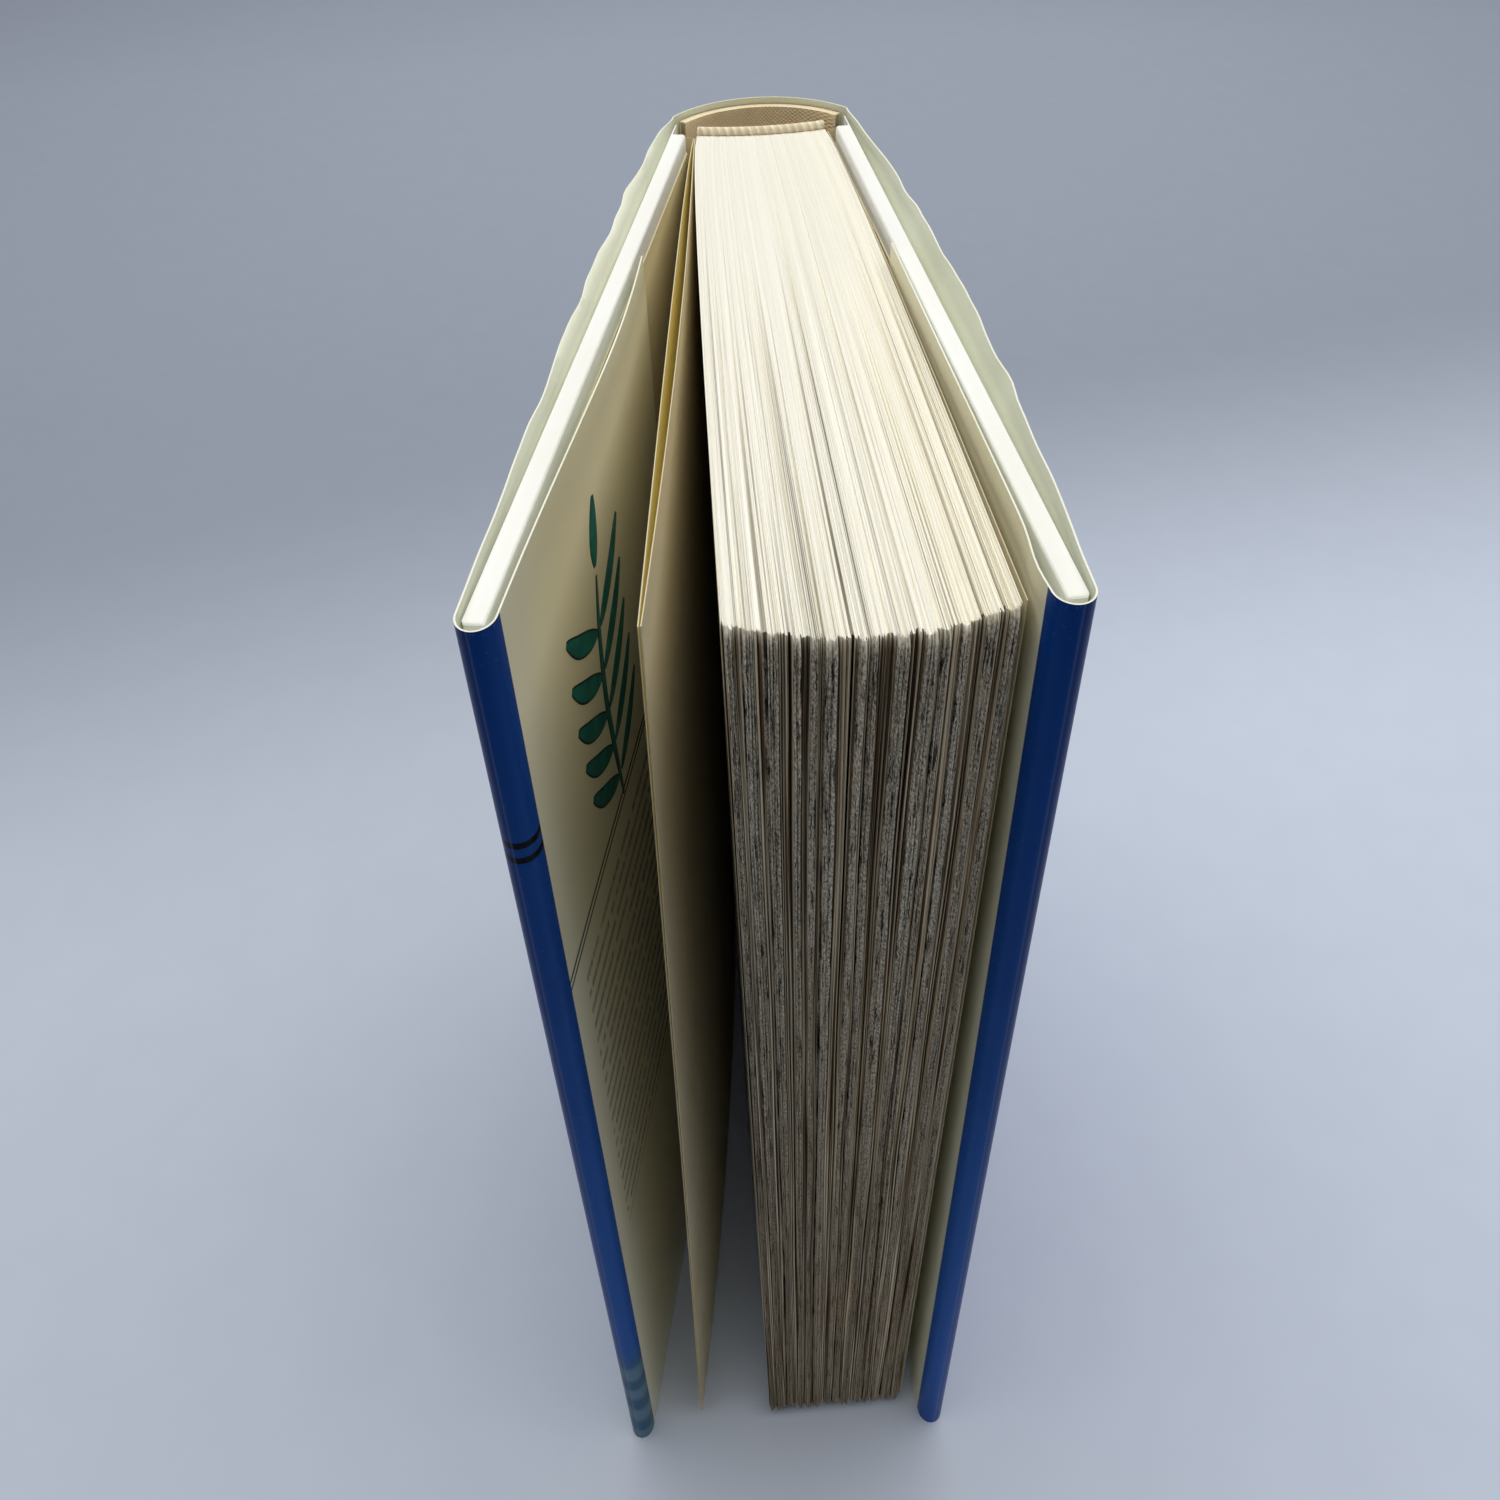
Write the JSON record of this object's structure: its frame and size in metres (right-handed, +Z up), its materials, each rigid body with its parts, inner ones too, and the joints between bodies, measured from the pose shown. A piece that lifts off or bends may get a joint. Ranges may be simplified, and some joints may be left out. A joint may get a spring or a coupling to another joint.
{
  "type": "hardcover book",
  "caption": "Hardcover book in a glossy blue paper jacket, standing on its tail with the front cover ajar; covers hinge at the spine and the pages have a rough-cut fore-edge.",
  "frame": {"origin": "centre of the base of the bounding box, on the surface the book stands on", "axes": "+Z up from tail to head, +Y from the fore-edge towards the spine, +X from the front cover to the back cover"},
  "size_m": [0.0728, 0.1664, 0.24],
  "materials": {
    "pages": "uncoated, rough-cut at the fore-edge",
    "endpaper": "uncoated",
    "cover_paper": "smooth, matt",
    "jacket": "coated, glossy, printed on one side",
    "board": "grey pressed board",
    "spine_cloth": "fine weave",
    "band": "woven tape",
    "lining": "open gauze"
  },
  "bodies": {
    "block": {"text_block": "pages", "spine_lining": "lining", "head_band": "band", "tail_band": "band", "front_flyleaf": "endpaper", "blank_leaf": "pages", "back_flyleaf": "endpaper", "spine_inlay": "board", "spine_cloth": "spine_cloth", "jacket_spine": "jacket"},
    "front_cover": {"front_board": "board", "front_cover_paper": "cover_paper", "front_pastedown": "endpaper", "jacket_front": "jacket"},
    "back_cover": {"back_board": "board", "back_cover_paper": "cover_paper", "back_pastedown": "endpaper", "jacket_back": "jacket"}
  },
  "joints": [
    {"name": "front_hinge", "type": "hinge", "parent": "block", "child": "front_cover", "pos_m": [-0.00595, 0.07482, 0], "axis": [0, 0, -1], "range_deg": [-7.4, 165], "deforming": ["front_flyleaf", "blank_leaf"]},
    {"name": "back_hinge", "type": "hinge", "parent": "block", "child": "back_cover", "pos_m": [0.02765, 0.07482, 0], "axis": [0, 0, 1], "range_deg": [0, 172]}
  ]
}
